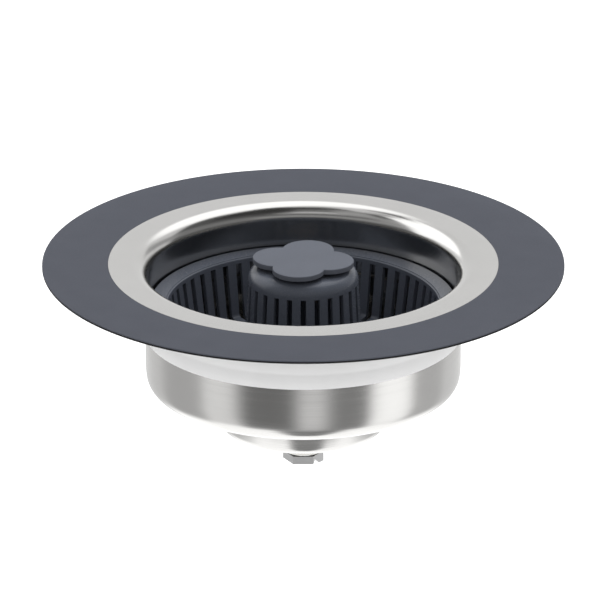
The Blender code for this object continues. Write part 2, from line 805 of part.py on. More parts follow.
def make_core_housing(skin):
    outline = [
        (BARREL_BORE, BARREL_TOP),
        (BARREL_RADIUS, BARREL_TOP),
        (BARREL_RADIUS, HOUSING_FLANGE_TOP),
        (HOUSING_FLANGE, HOUSING_FLANGE_TOP),
        (HOUSING_FLANGE, FLANGE_UNDERSIDE),
        (STUB_RADIUS, FLANGE_UNDERSIDE),
        (STUB_RADIUS, STUB_BOTTOM),
        (ROD_BORE, STUB_BOTTOM),
        (ROD_BORE, BORE_BOTTOM),
        (BARREL_BORE, BORE_BOTTOM),
    ]
    return turned("core_housing", outline, skin)


def make_housing_cap(skin):
    spigot = BARREL_BORE - FIT_GAP
    outline = [
        (ROD_BORE, CAP_TOP),
        (BARREL_RADIUS, CAP_TOP),
        (BARREL_RADIUS, CAP_TOP - CAP_HEIGHT),
        (spigot, CAP_TOP - CAP_HEIGHT),
        (spigot, CAP_TOP - CAP_HEIGHT - CAP_SPIGOT),
        (ROD_BORE, CAP_TOP - CAP_HEIGHT - CAP_SPIGOT),
    ]
    return turned("housing_cap", outline, skin)


def make_washer(name, inner, outer, low, high, skin):
    outline = [(r, z) for r, z, edge in ring_corners(inner, outer, low, high)]
    return turned(name, outline, skin)


def make_lock_nut(skin):
    corner_radius = (STUB_RADIUS + LOCK_NUT_WALL) / math.cos(math.pi / HEX_SIDES)
    outline = []
    for corner in range(HEX_SIDES):
        outline.append(turned_by((corner_radius, 0), FULL * corner / HEX_SIDES))
    nut = prism("lock_nut", outline, LOCK_NUT_TOP - LOCK_NUT_HEIGHT, LOCK_NUT_TOP, skin)
    hole = [turned_by((CORE_HOLE, 0), FULL * step / SMALL_STEPS) for step in range(SMALL_STEPS)]
    low = LOCK_NUT_TOP - LOCK_NUT_HEIGHT - OVERRUN
    cut(nut, joined_prisms("lock_nut_cutter", [hole], low, LOCK_NUT_TOP + OVERRUN))
    return nut


def make_end_nut(skin):
    """A hexagonal nut whose underside dips towards one side and has a saw cut beside its tooth."""
    steps = 2 * SMALL_STEPS
    columns = []
    for step in range(steps):
        angle = FULL * step / steps
        behind = (angle - END_NUT_SPLIT) % FULL
        dip = math.sin(math.pi * min(1, behind / END_NUT_DIP_SPAN))
        ramp = max(0, 1 - behind / END_NUT_RAMP)
        columns.append((angle, END_NUT_BOTTOM - END_NUT_DIP * dip + END_NUT_NOTCH * ramp))
    radii = [hexagon_radius(angle, ROD_RADIUS + END_NUT_WALL) for angle, level in columns]
    return wavy_ring("end_nut", ROD_BORE, radii, END_NUT_TOP, columns, skin)


def spring_points():
    low = HOUSING_FLANGE_TOP + FIT_GAP + SPRING_WIRE
    high = PLATE_BOTTOM - FIT_GAP - SPRING_WIRE
    middle_turns = SPRING_TURNS - 2 * SPRING_END_TURNS
    middle_rise = high - low - 2 * SPRING_END_TURNS * SPRING_END_PITCH
    points = []
    count = round(SPRING_TURNS * POINTS_A_TURN)
    for step in range(count + 1):
        turns = SPRING_TURNS * step / count
        first = min(turns, SPRING_END_TURNS)
        last = max(0, turns - SPRING_END_TURNS - middle_turns)
        middle = turns - first - last
        rise = (first + last) * SPRING_END_PITCH + middle * middle_rise / middle_turns
        x, y = turned_by((SPRING_RADIUS, 0), FULL * turns)
        points.append((x, y, low + rise))
    return points


def make_return_spring(skin):
    points = spring_points()
    least = min(
        math.dist(point, other) - 2 * SPRING_WIRE
        for index, point in enumerate(points)
        for other in points[index + POINTS_A_TURN // 2:]
    )
    print(f"return_spring: least gap to itself {1000 * least:.2f} mm")
    curve = bpy.data.curves.new("return_spring", "CURVE")
    curve.dimensions = "3D"
    curve.bevel_depth = SPRING_WIRE
    curve.bevel_resolution = 1
    curve.use_fill_caps = True
    spline = curve.splines.new("POLY")
    spline.points.add(len(points) - 1)
    for point, place in zip(spline.points, points):
        point.co = (*place, 1)
    curve.materials.append(skin)
    spring = bpy.data.objects.new("return_spring", curve)
    bpy.context.collection.objects.link(spring)
    return spring


def main():
    clear_scene()
    steel = material("brushed_steel", (0.62, 0.61, 0.60), 0.30, 1)
    dark = material("dark_moulding", (0.030, 0.034, 0.045), 0.42, 0)
    seat = material("dark_seat", (0.110, 0.118, 0.145), 0.55, 0)
    white = material("white_sleeve", (0.70, 0.70, 0.69), 0.45, 0)
    rubber = material("black_rubber", (0.02, 0.02, 0.02), 0.7, 0)
    nylon = material("pale_nylon", (0.62, 0.62, 0.60), 0.5, 0)
    zinc = material("plated_steel", (0.55, 0.55, 0.55), 0.35, 1)
    brass = material("core_brass", (0.60, 0.42, 0.18), 0.3, 1)

    make_seat_ring(seat)
    make_drain_cup(steel)
    make_sealing_sleeve(white)
    make_core_housing(brass)
    make_housing_cap(brass)
    make_washer("core_gasket", CORE_HOLE, HOUSING_FLANGE, GASKET_TOP - GASKET_HEIGHT, GASKET_TOP, rubber)
    washer_radius = STUB_RADIUS + WASHER_WIDTH
    make_washer("clamp_washer", CORE_HOLE, washer_radius, WASHER_TOP - WASHER_HEIGHT, WASHER_TOP, zinc)
    make_lock_nut(brass)

    stop_radius = ROD_RADIUS + STOP_WIDTH
    plunger = [
        make_plunger_rod(zinc),
        make_stopper_plate(steel),
        make_stopper_seal(rubber),
        make_plunger_post(brass),
        make_post_ring(rubber),
        make_push_cam(nylon),
        make_rotor_clip(zinc),
        make_return_spring(zinc),
        make_washer("stop_washer", ROD_BORE, stop_radius, STOP_TOP - STOP_HEIGHT, STOP_TOP, nylon),
        make_end_nut(zinc),
    ]
    rotor = make_ratchet_rotor(nylon)
    basket = [make_strainer_basket(dark), make_centre_tower(dark), make_knob(seat), make_knob_screw(zinc)]

    plunger_axis = bpy.data.objects.new("plunger_axis", None)
    basket_axis = bpy.data.objects.new("basket_axis", None)
    bpy.context.collection.objects.link(plunger_axis)
    bpy.context.collection.objects.link(basket_axis)
    basket_axis.parent = plunger_axis
    rotor.parent = plunger_axis
    for obj in plunger:
        obj.parent = plunger_axis
    for obj in basket:
        obj.parent = basket_axis


main()
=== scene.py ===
"""Looks of the pop-up sink drain: smooth pieces in place of the faceted solids, their finishes, a plain
studio, and a camera at the photograph's viewing angle. Metres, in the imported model's frame."""

import math

import bmesh
import bpy
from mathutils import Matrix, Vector


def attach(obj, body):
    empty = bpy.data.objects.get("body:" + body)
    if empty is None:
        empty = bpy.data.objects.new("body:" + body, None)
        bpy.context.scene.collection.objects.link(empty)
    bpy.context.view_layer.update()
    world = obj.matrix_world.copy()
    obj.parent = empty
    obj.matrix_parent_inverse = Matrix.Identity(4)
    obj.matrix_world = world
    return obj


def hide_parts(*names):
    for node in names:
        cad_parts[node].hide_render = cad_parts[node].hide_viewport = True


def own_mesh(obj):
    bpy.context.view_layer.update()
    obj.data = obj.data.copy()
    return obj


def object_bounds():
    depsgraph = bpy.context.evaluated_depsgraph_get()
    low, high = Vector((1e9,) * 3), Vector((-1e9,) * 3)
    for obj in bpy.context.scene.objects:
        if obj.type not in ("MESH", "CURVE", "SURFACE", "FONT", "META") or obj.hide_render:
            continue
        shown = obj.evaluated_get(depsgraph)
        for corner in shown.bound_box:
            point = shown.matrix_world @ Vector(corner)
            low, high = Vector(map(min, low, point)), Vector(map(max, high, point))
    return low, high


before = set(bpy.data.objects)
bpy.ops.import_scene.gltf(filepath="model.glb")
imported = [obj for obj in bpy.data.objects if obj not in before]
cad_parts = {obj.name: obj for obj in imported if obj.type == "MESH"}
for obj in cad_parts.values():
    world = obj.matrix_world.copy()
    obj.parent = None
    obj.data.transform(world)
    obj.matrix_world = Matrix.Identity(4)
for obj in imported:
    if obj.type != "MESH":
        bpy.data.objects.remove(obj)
cad_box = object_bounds()

# The photograph's frame and viewing angle
IMAGE_PX = 606
RING_CENTRE_PX = (303.28, 262.75)
PX_A_METRE = 3721.7
CAMERA_DISTANCE = 3.0
CAMERA_ELEVATION = math.radians(21.66)
SENSOR_MM = 36
CLIP_END = 100

# Seat ring
RING_TOP_EDGE = 0.00018
RING_LOW_EDGE = 0.0001
# Depth below the ring's top where its near-black painted shade begins
RING_SHADE_DEPTH = 0.00022
SEAT_GAP = 0.00005

# Steel cup. Its wall and its sump lean in from their lean rise above their bottom.
SHEET = 0.0004
LIP_ROLL = 0.0045
CUP_WALL_RADIUS = 0.04205
SWELL = 0.00045
SWELL_DROP = 0.0009
SWELL_ROUND = 0.0012
CUP_LEAN = math.radians(6)
CUP_LEAN_RISE = 0.0056
CUP_LEAN_ROUND = 0.020
CUP_FILLET = 0.0044
SUMP_RADIUS = 0.0238
SUMP_DEPTH = 0.0116
SUMP_FILLET = 0.0030
SUMP_LEAN = math.radians(12)
SUMP_LEAN_RISE = 0.0067
SUMP_LEAN_ROUND = 0.010
MOUTH_ROLL = 0.0015
FLANGE_EDGE = 0.00012
OUTLETS = 6
OUTLET_INNER = 0.0126
OUTLET_OUTER = 0.0186
OUTLET_SPAN = math.radians(26)

# Sleeve
SLEEVE_RIB = 0.0042
SLEEVE_CROWN = 0.00010
SLEEVE_LIP = 0.0003
SLEEVE_GAP = 0.00004

# Basket
RIM_SLOPE = 0.0002
RIM_WIDTH = 0.00415
RIM_EDGE = 0.00022
RIM_OUTER_EDGE = 0.0002
BASKET_STEP = 0.00040
BASKET_STEP_DROP = 0.0003
BEAD_EDGE = 0.00035
BASKET_SKIN = 0.0012
BASKET_TAPER = math.radians(8)
BASKET_BEND = 0.0009
FLOOR_BEND = 0.0016
WALL_SLOTS = 54
WALL_SLOT_WIDTH = 0.0017
WALL_SLOT_DROP = 0.0015
WALL_SLOT_WRAP = 0.0034
WALL_SLOT_TURN = math.radians(4.5)
WALL_RIB_STEPS = 3
FLOOR_SLOT_EVERY = 2
FLOOR_SLOT_WIDTH = 0.0017
FLOOR_SLOT_MARGIN = 0.0018
SOCKET_OUTER = 0.00695
SOCKET_HEIGHT = 0.0062
SPIGOT_GAP = 0.0003
SPIGOT_WALL = 0.0012
SPIGOT_HEIGHT = 0.0030

# Centre tower
TOWER_FILLET = 0.0034
TOWER_SKIN = 0.0013
TOWER_DRAFT = math.radians(3)
TOWER_SLOTS = 25
TOWER_SLOT_WIDTH = 0.00135
TOWER_SLOT_DROP = 0.0040
TOWER_SLOT_MARGIN = 0.0020
TOWER_RIB_STEPS = 6

# Knob
KNOB_LOBES = 4
KNOB_LOBE = 0.0070
KNOB_REACH = 0.0067
KNOB_TURN = math.radians(-11)
KNOB_PLATE = 0.0014
KNOB_EDGE = 0.00022
KNOB_EDGE_STEPS = 4
KNOB_FACE_INSET = 3 * KNOB_EDGE
KNOB_NECK = 0.0055

# Return spring
SPRING_WIRE = 0.0004
SPRING_RADIUS = 0.0106
SPRING_TURNS = 4.5
SPRING_END_TURNS = 0.75
SPRING_END_PITCH = 0.0013
SPRING_STEPS = 32
WIRE_STEPS = 12

# Small pieces
SMALL_EDGE = 0.00015
SOFT_EDGE = 2 * SMALL_EDGE
FINE_EDGE = 0.00007
FLAT_ANGLE = math.radians(1)

# Smoothness
CUP_STEPS = 256
SMALL_STEPS = 96
ARC_STEPS = 10
LOBE_STEPS = 4 * ARC_STEPS
EDGE_STEPS = 2
MOULD_EDGE = 0.00015
SOFTENED_ANGLE = math.radians(50)
SHARP_ANGLE = math.radians(35)
MERGE = 0.0000005
FULL = 2 * math.pi
QUARTER = math.pi / 2
FAR = QUARTER
NEAR = -QUARTER

# Finishes. Grain and cloud are the sizes of the fine and the broad pattern, and height is the fine one's.
# A finish's colour varies by its share on both sides, and its roughness by its spread.
NOISE_RANGE = (0.3, 0.7)
CLOUD_DETAIL = 2.0
GRAIN_DETAIL = 3.0
NOISE_ROUGHNESS = 0.5
METAL_SPECULAR = 0.5
METAL_CLOUD = 0.012
METAL_SPREAD = 0.05
METAL_BUMP = 0.6
MOULDING_CLOUD = 0.009
MOULDING_SPREAD = 0.06
MOULDING_BUMP = 0.5
STEEL = {
    "colour": (0.515, 0.510, 0.500),
    "roughness": 0.19,
    "grain": 0.00035,
    "height": 0.000006,
    "share": 0.02,
}
PLATED = {
    "colour": (0.56, 0.56, 0.56),
    "roughness": 0.33,
    "grain": 0.0003,
    "height": 0.00001,
    "share": 0.05,
}
WIRE = {
    "colour": (0.50, 0.50, 0.50),
    "roughness": 0.28,
    "grain": 0.0003,
    "height": 0.00001,
    "share": 0.05,
}
BRASS = {
    "colour": (0.62, 0.45, 0.20),
    "roughness": 0.30,
    "grain": 0.0003,
    "height": 0.00001,
    "share": 0.05,
}
SEAT = {
    "colour": (0.085, 0.091, 0.111),
    "roughness": 0.62,
    "grain": 0.0004,
    "height": 0.000012,
    "specular": 0.1,
    "share": 0.03,
}
# Near-black painted shade for the seat ring's side and underside, below its top band
SEAT_PAINTED_SHADE_COLOUR = (0.012, 0.012, 0.013)
SLEEVE = {
    "colour": (0.80, 0.80, 0.80),
    "roughness": 0.42,
    "grain": 0.0006,
    "height": 0.00001,
    "specular": 0.35,
    "share": 0.015,
}
BASKET = {
    "colour": (0.100, 0.111, 0.138),
    "roughness": 0.24,
    "grain": 0.0003,
    "height": 0.000004,
    "specular": 0.24,
    "share": 0.04,
}
KNOB = {
    "colour": (0.135, 0.146, 0.174),
    "roughness": 0.60,
    "grain": 0.0003,
    "height": 0.000012,
    "specular": 0.12,
    "share": 0.03,
}
NYLON = {
    "colour": (0.78, 0.78, 0.76),
    "roughness": 0.45,
    "grain": 0.0005,
    "height": 0.00001,
    "specular": 0.4,
    "share": 0.02,
}
RUBBER = {
    "colour": (0.020, 0.020, 0.021),
    "roughness": 0.65,
    "grain": 0.0004,
    "height": 0.00002,
    "specular": 0.3,
    "share": 0.08,
}

# Studio. A patch of the surroundings is (azimuth, half width, lowest, highest, softness, tone) in degrees,
# where azimuth 0 is the photograph's side and 90 is towards +X, and tone 1 is as bright as the background.
# The top light is (azimuth, elevation, radius, softness, tone).
FLOOR_DROP = 0.18
FLOOR_SIZE = 12
FLOOR_COLOUR = (0.9, 0.9, 0.9)
FLOOR_GLOW = 0.55
FRONT_AMBIENT = 0.52
BACK_AMBIENT = 0.36
AMBIENT_FADE = (-0.6, 0.8)
WHITE = 1.0
KEY = 0.57
KEY_SPREAD = math.radians(55)
KEY_FROM = (math.radians(155), math.radians(62))
LOW_TONE = 1.9
LOW_FADE = (-0.74, -0.48)
REFLECTED_PATCHES = (
    (0, 112, -3, 62, 6, 0.14),
    (0, 152, -6, 3, 4, 0.14),
    (0, 150, 13, 26, 4, 0.48),
    (70, 34, 14, 30, 5, 0.30),
    (-5, 26, 37, 50, 6, 0.85),
    (-48, 18, 36, 60, 6, 0.55),
    (-74, 14, 24, 46, 6, 0.48),
    (46, 36, 42, 84, 5, 0.06),
    (-10, 24, 62, 84, 5, 0.09),
    (-48, 18, 64, 84, 5, 0.16),
    (-118, 30, 10, 56, 4, 2.1),
    (-142, 17, 52, 68, 3, 0.10),
    (-150, 22, -36, -4, 10, 0.90),
    (-102, 20, -42, -4, 11, 0.66),
    (-26, 20, -39, -4, 8, 0.25),
    (35, 14, -43, -4, 10, 0.34),
    (104, 20, -42, -4, 11, 0.74),
    (145, 18, -36, -4, 10, 0.94),
    (-66, 9, -34, -4, 7, 1.22),
    (69, 15, -38, -4, 9, 1.80),
    (6, 26, -86, -36, 9, 0.37),
)
TOP_LIGHT = (160, 60, 27, 4, 2.0)


def span_of(node):
    """Least radius, greatest radius, lowest and highest level of a solid about the drain's axis."""
    points = [vertex.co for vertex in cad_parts[node].data.vertices]
    radii = [math.hypot(point.x, point.y) for point in points]
    levels = [point.z for point in points]
    return min(radii), max(radii), min(levels), max(levels)


def unit(x, y):
    length = math.hypot(x, y)
    return (x / length, y / length)


def turned_by(vector, angle):
    cosine = math.cos(angle)
    sine = math.sin(angle)
    return (vector[0] * cosine - vector[1] * sine, vector[0] * sine + vector[1] * cosine)


def rounded_path(corners, closed):
    """Points and unit normals along a path whose corners (r, z, fillet radius) are rounded by arcs."""
    path = []
    count = len(corners)
    for index, (r, z, radius) in enumerate(corners):
        before = corners[index - 1]
        after = corners[(index + 1) % count]
        come = unit(r - before[0], z - before[1])
        leave = unit(after[0] - r, after[1] - z)
        if not closed and index in (0, count - 1):
            way = leave if index == 0 else come
            path.append(((r, z), (-way[1], way[0])))
            continue
        turn = math.atan2(come[0] * leave[1] - come[1] * leave[0], come[0] * leave[0] + come[1] * leave[1])
        if radius == 0 or abs(turn) < MERGE:
            middle = unit(come[0] + leave[0], come[1] + leave[1])
            path.append(((r, z), (-middle[1], middle[0])))
            continue
        reach = radius * math.tan(abs(turn) / 2)
        side = math.copysign(1, turn)
        first = (-come[1], come[0])
        inward = (side * first[0] * radius, side * first[1] * radius)
        centre = (r - come[0] * reach + inward[0], z - come[1] * reach + inward[1])
        steps = max(EDGE_STEPS, round(ARC_STEPS * abs(turn) / QUARTER))
        for step in range(steps + 1):
            normal = turned_by(first, turn * step / steps)
            place = (centre[0] - side * normal[0] * radius, centre[1] - side * normal[1] * radius)
            path.append((place, normal))
    return path


def rounded(corners):
    return [point for point, normal in rounded_path(corners, closed=True)]


def sheet_rows(corners, thickness):
    """Pairs of points on the two faces of a sheet whose middle follows the corners."""
    half = thickness / 2
    rows = []
    for point, normal in rounded_path(corners, closed=False):
        one = (point[0] + normal[0] * half, point[1] + normal[1] * half)
        other = (point[0] - normal[0] * half, point[1] - normal[1] * half)
        rows.append((one, other))
    return rows


def finished(name, shape, skin, body, replaced):
    """Turns a bmesh into a piece that rides on a body and stands for its CAD node."""
    bmesh.ops.remove_doubles(shape, verts=shape.verts, dist=MERGE)
    bmesh.ops.recalc_face_normals(shape, faces=shape.faces)
    mesh = bpy.data.meshes.new(name)
    shape.to_mesh(mesh)
    shape.free()
    mesh.shade_smooth()
    mesh.set_sharp_from_angle(angle=SHARP_ANGLE)
    mesh.materials.append(skin)
    piece = bpy.data.objects.new(name, mesh)
    bpy.context.scene.collection.objects.link(piece)
    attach(piece, body)
    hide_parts(replaced)
    return piece


def turned_shape(outline, steps):
    """A closed outline of (r, z) points swept about Z."""
    shape = bmesh.new()
    loops = []
    for step in range(steps):
        angle = FULL * step / steps
        loops.append([shape.verts.new((*turned_by((r, 0), angle), z)) for r, z in outline])
    for index, loop in enumerate(loops):
        ahead = loops[(index + 1) % steps]
        for i in range(len(loop)):
            j = (i + 1) % len(loop)
            shape.faces.new((loop[i], loop[j], ahead[j], ahead[i]))
    return shape


def slotted_shape(rows, tail, columns, is_open):
    """A sheet swept about Z, with cells left open. Rows are pairs of points on its two faces, and the tail
    is an outline that closes the last row."""
    shape = bmesh.new()
    count = len(columns)

    def ring(point):
        return [shape.verts.new((*turned_by((point[0], 0), angle), point[1])) for angle in columns]

    faces_of = [[ring(one), ring(other)] for one, other in rows]
    for i in range(len(rows) - 1):
        upper = faces_of[i]
        lower = faces_of[i + 1]
        for j in range(count):
            k = (j + 1) % count
            if is_open(i, j):
                continue
            for side in (0, 1):
                shape.faces.new((upper[side][j], upper[side][k], lower[side][k], lower[side][j]))
            for edge in (j, k):
                if is_open(i, (j - 1) % count if edge == j else k):
                    shape.faces.new((upper[0][edge], lower[0][edge], lower[1][edge], upper[1][edge]))
            if i == 0 or is_open(i - 1, j):
                shape.faces.new((upper[0][j], upper[0][k], upper[1][k], upper[1][j]))
            if (i == len(rows) - 2 and not tail) or (i < len(rows) - 2 and is_open(i + 1, j)):
                shape.faces.new((lower[0][j], lower[0][k], lower[1][k], lower[1][j]))
    if tail:
        rings = [faces_of[-1][0]] + [ring(point) for point in tail] + [faces_of[-1][1]]
        for upper_ring, lower_ring in zip(rings, rings[1:]):
            for j in range(count):
                k = (j + 1) % count
                shape.faces.new((upper_ring[j], upper_ring[k], lower_ring[k], lower_ring[j]))
    return shape


def slot_columns(slots, turn, halves, rib_steps):
    """Angles round a slotted wall: each slot's edges and centre, then steps over the rib to the next."""
    pitch = FULL / slots
    columns = []
    for slot in range(slots):
        centre = turn - slot * pitch
        edges = sorted([-half for half in halves] + [0] + list(halves))
        columns += [centre - edge for edge in edges]
        rib = pitch - 2 * max(halves)
        columns += [centre - max(halves) - rib * step / rib_steps for step in range(1, rib_steps)]
    return columns


def soften(piece, width):
    bevel = piece.modifiers.new("edges", "BEVEL")
    bevel.width = width
    bevel.segments = EDGE_STEPS
    bevel.limit_method = "ANGLE"
    bevel.angle_limit = SOFTENED_ANGLE
    bevel.harden_normals = True


def settled(piece, *guides):
    """Applies the piece's modifiers and removes the objects that they read."""
    graph = bpy.context.evaluated_depsgraph_get()
    mesh = bpy.data.meshes.new_from_object(piece.evaluated_get(graph))
    piece.modifiers.clear()
    piece.data = mesh
    for guide in guides:
        bpy.data.objects.remove(guide, do_unlink=True)


def prism_object(name, outlines, low, high):
    shape = bmesh.new()
    for outline in outlines:
        face = shape.faces.new([shape.verts.new((x, y, low)) for x, y in outline])
        raised = bmesh.ops.extrude_face_region(shape, geom=[face])["geom"]
        moved = [item for item in raised if isinstance(item, bmesh.types.BMVert)]
        bmesh.ops.translate(shape, verts=moved, vec=(0, 0, high - low))
    bmesh.ops.recalc_face_normals(shape, faces=shape.faces)
    mesh = bpy.data.meshes.new(name)
    shape.to_mesh(mesh)
    shape.free()
    guide = bpy.data.objects.new(name, mesh)
    bpy.context.scene.collection.objects.link(guide)
    return guide


def subtract(piece, guide):
    boolean = piece.modifiers.new(guide.name, "BOOLEAN")
    boolean.operation = "DIFFERENCE"
    boolean.solver = "EXACT"
    boolean.object = guide


def calculate(tree, operation, first, second):
    node = tree.nodes.new("ShaderNodeMath")
    node.operation = operation
    for socket, value in zip(node.inputs, (first, second)):
        if isinstance(value, (int, float)):
            socket.default_value = value
        else:
            tree.links.new(value, socket)
    return node.outputs["Value"]


def socket_of(sockets, identifier):
    return next(socket for socket in sockets if socket.identifier == identifier)


def shade(colour, share):
    return (*(channel * share for channel in colour), 1)


class Finish:
    """A material's node tree with short calls for the nodes that the finishes share."""

    def __init__(self, name, roughness, metallic, specular):
        self.material = bpy.data.materials.new(name)
        self.material.use_nodes = True
        self.tree = self.material.node_tree
        self.shader = self.tree.nodes["Principled BSDF"]
        self.shader.inputs["Roughness"].default_value = roughness
        self.shader.inputs["Metallic"].default_value = metallic
        self.shader.inputs["Specular IOR Level"].default_value = specular
        self.place = self.tree.nodes.new("ShaderNodeTexCoord").outputs["Object"]

    def link(self, source, socket):
        self.tree.links.new(source, socket)

    def coordinates(self):
        """The surface point's X, Y and Z."""
        split = self.tree.nodes.new("ShaderNodeSeparateXYZ")
        self.link(self.place, split.inputs["Vector"])
        return split.outputs

    def noise(self, place, size, detail):
        """Noise whose blotches are about the given size, in metres."""
        node = self.tree.nodes.new("ShaderNodeTexNoise")
        node.inputs["Scale"].default_value = 1 / size
        node.inputs["Detail"].default_value = detail
        node.inputs["Roughness"].default_value = NOISE_ROUGHNESS
        self.link(place, node.inputs["Vector"])
        return node.outputs["Fac"]

    def turning_marks(self, size):
        """Noise that is even round the axis: fine rings, as a lathe or a round brush leaves them."""
        split = self.coordinates()
        squares = [calculate(self.tree, "POWER", split[axis], 2) for axis in ("X", "Y")]
        radius = calculate(self.tree, "SQRT", calculate(self.tree, "ADD", *squares), 0)
        join = self.tree.nodes.new("ShaderNodeCombineXYZ")
        self.link(radius, join.inputs["X"])
        self.link(split["Z"], join.inputs["Y"])
        return self.noise(join.outputs["Vector"], size, GRAIN_DETAIL)

    def spread(self, source, source_range, value_range):
        """Maps the source's range to a range of values."""
        node = self.tree.nodes.new("ShaderNodeMapRange")
        names = ("From Min", "From Max", "To Min", "To Max")
        for name, value in zip(names, (*source_range, *value_range)):
            node.inputs[name].default_value = value
        self.link(source, node.inputs["Value"])
        return node.outputs["Result"]

    def tone(self, source, colour, share):
        """A colour that varies with the source, by a share on both sides."""
        node = self.tree.nodes.new("ShaderNodeValToRGB")
        shares = (1 - share, 1 + share)
        for element, position, tone_share in zip(node.color_ramp.elements, NOISE_RANGE, shares):
            element.position = position
            element.color = shade(colour, tone_share)
        self.link(source, node.inputs["Fac"])
        return node.outputs["Color"]

    def rough(self, source, middle, spread):
        mapped = self.spread(source, NOISE_RANGE, (middle - spread, middle + spread))
        self.link(mapped, self.shader.inputs["Roughness"])

    def bump(self, source, height, strength):
        node = self.tree.nodes.new("ShaderNodeBump")
        node.inputs["Distance"].default_value = height
        node.inputs["Strength"].default_value = strength
        self.link(source, node.inputs["Height"])
        self.link(node.outputs["Normal"], self.shader.inputs["Normal"])


def metal(name, colour, roughness, grain, height, share):
    finish = Finish(name, roughness, 1, METAL_SPECULAR)
    rings = finish.turning_marks(grain)
    cloud = finish.noise(finish.place, METAL_CLOUD, CLOUD_DETAIL)
    finish.link(finish.tone(cloud, colour, share), finish.shader.inputs["Base Color"])
    finish.rough(rings, roughness, METAL_SPREAD)
    finish.bump(rings, height, METAL_BUMP)
    return finish.material


def moulding(name, colour, roughness, grain, height, specular, share, painted_shade_colour=None, painted_shade_level=0):
    """A moulded finish. Below a given level, a darker colour is painted in as shade, as on the seat ring's
    side and underside below its top band.
    """
    finish = Finish(name, roughness, 0, specular)
    fine = finish.noise(finish.place, grain, GRAIN_DETAIL)
    cloud = finish.noise(finish.place, MOULDING_CLOUD, CLOUD_DETAIL)
    tone = finish.tone(cloud, colour, share)
    # Below the level, the colour is swapped for the painted shade colour
    if painted_shade_colour:
        level = finish.coordinates()["Z"]
        layer = finish.spread(level, (painted_shade_level - FINE_EDGE, painted_shade_level), (0, 1))
        mix = finish.tree.nodes.new("ShaderNodeMix")
        mix.data_type = "RGBA"
        finish.link(layer, socket_of(mix.inputs, "Factor_Float"))
        socket_of(mix.inputs, "A_Color").default_value = (*painted_shade_colour, 1)
        finish.link(tone, socket_of(mix.inputs, "B_Color"))
        tone = socket_of(mix.outputs, "Result_Color")
    finish.link(tone, finish.shader.inputs["Base Color"])
    finish.rough(fine, roughness, MOULDING_SPREAD)
    finish.bump(fine, height, MOULDING_BUMP)
    return finish.material


ring_inner, ring_outer, ring_low, ring_top = span_of("seat_ring")
steel = metal("satin_steel", **STEEL)
# The seat ring's side and underside are painted near-black as shade, below its top band
seat = moulding("seat_rubber", **SEAT, painted_shade_colour=SEAT_PAINTED_SHADE_COLOUR, painted_shade_level=ring_top - RING_SHADE_DEPTH)
white = moulding("white_sleeve", **SLEEVE)
plastic = moulding("basket_plastic", **BASKET)
cap_plastic = moulding("knob_plastic", **KNOB)
plated = metal("plated_steel", **PLATED)
spring_wire = metal("spring_steel", **WIRE)
brass = metal("core_brass", **BRASS)
nylon = moulding("pale_nylon", **NYLON)
rubber = moulding("black_rubber", **RUBBER)


# Levels and radii read from the solids
cup_hole, flange_radius, cup_low, flange_top = span_of("drain_cup")
_, sleeve_outer, sleeve_low, sleeve_top = span_of("sealing_sleeve")
socket_inner, rim_radius, basket_low, rim_top = span_of("strainer_basket")
tower_hole, tower_foot_radius, tower_low, tower_top = span_of("centre_tower")
_, _, knob_low, knob_top = span_of("knob")


def make_seat_ring():
    """The flange lies in a recess of the ring, level with its top."""
    recess = flange_radius + SEAT_GAP
    seat_level = ring_top - SHEET - SEAT_GAP
    corners = [
        (ring_outer, ring_top, RING_TOP_EDGE),
        (ring_outer, ring_low, RING_LOW_EDGE),
        (ring_inner, ring_low, 0),
        (ring_inner, seat_level, 0),
        (recess, seat_level, 0),
        (recess, ring_top, 0),
    ]
    shape = turned_shape(rounded(corners), CUP_STEPS)
    finished("rubber_seat_ring", shape, seat, "drain_body", "seat_ring")


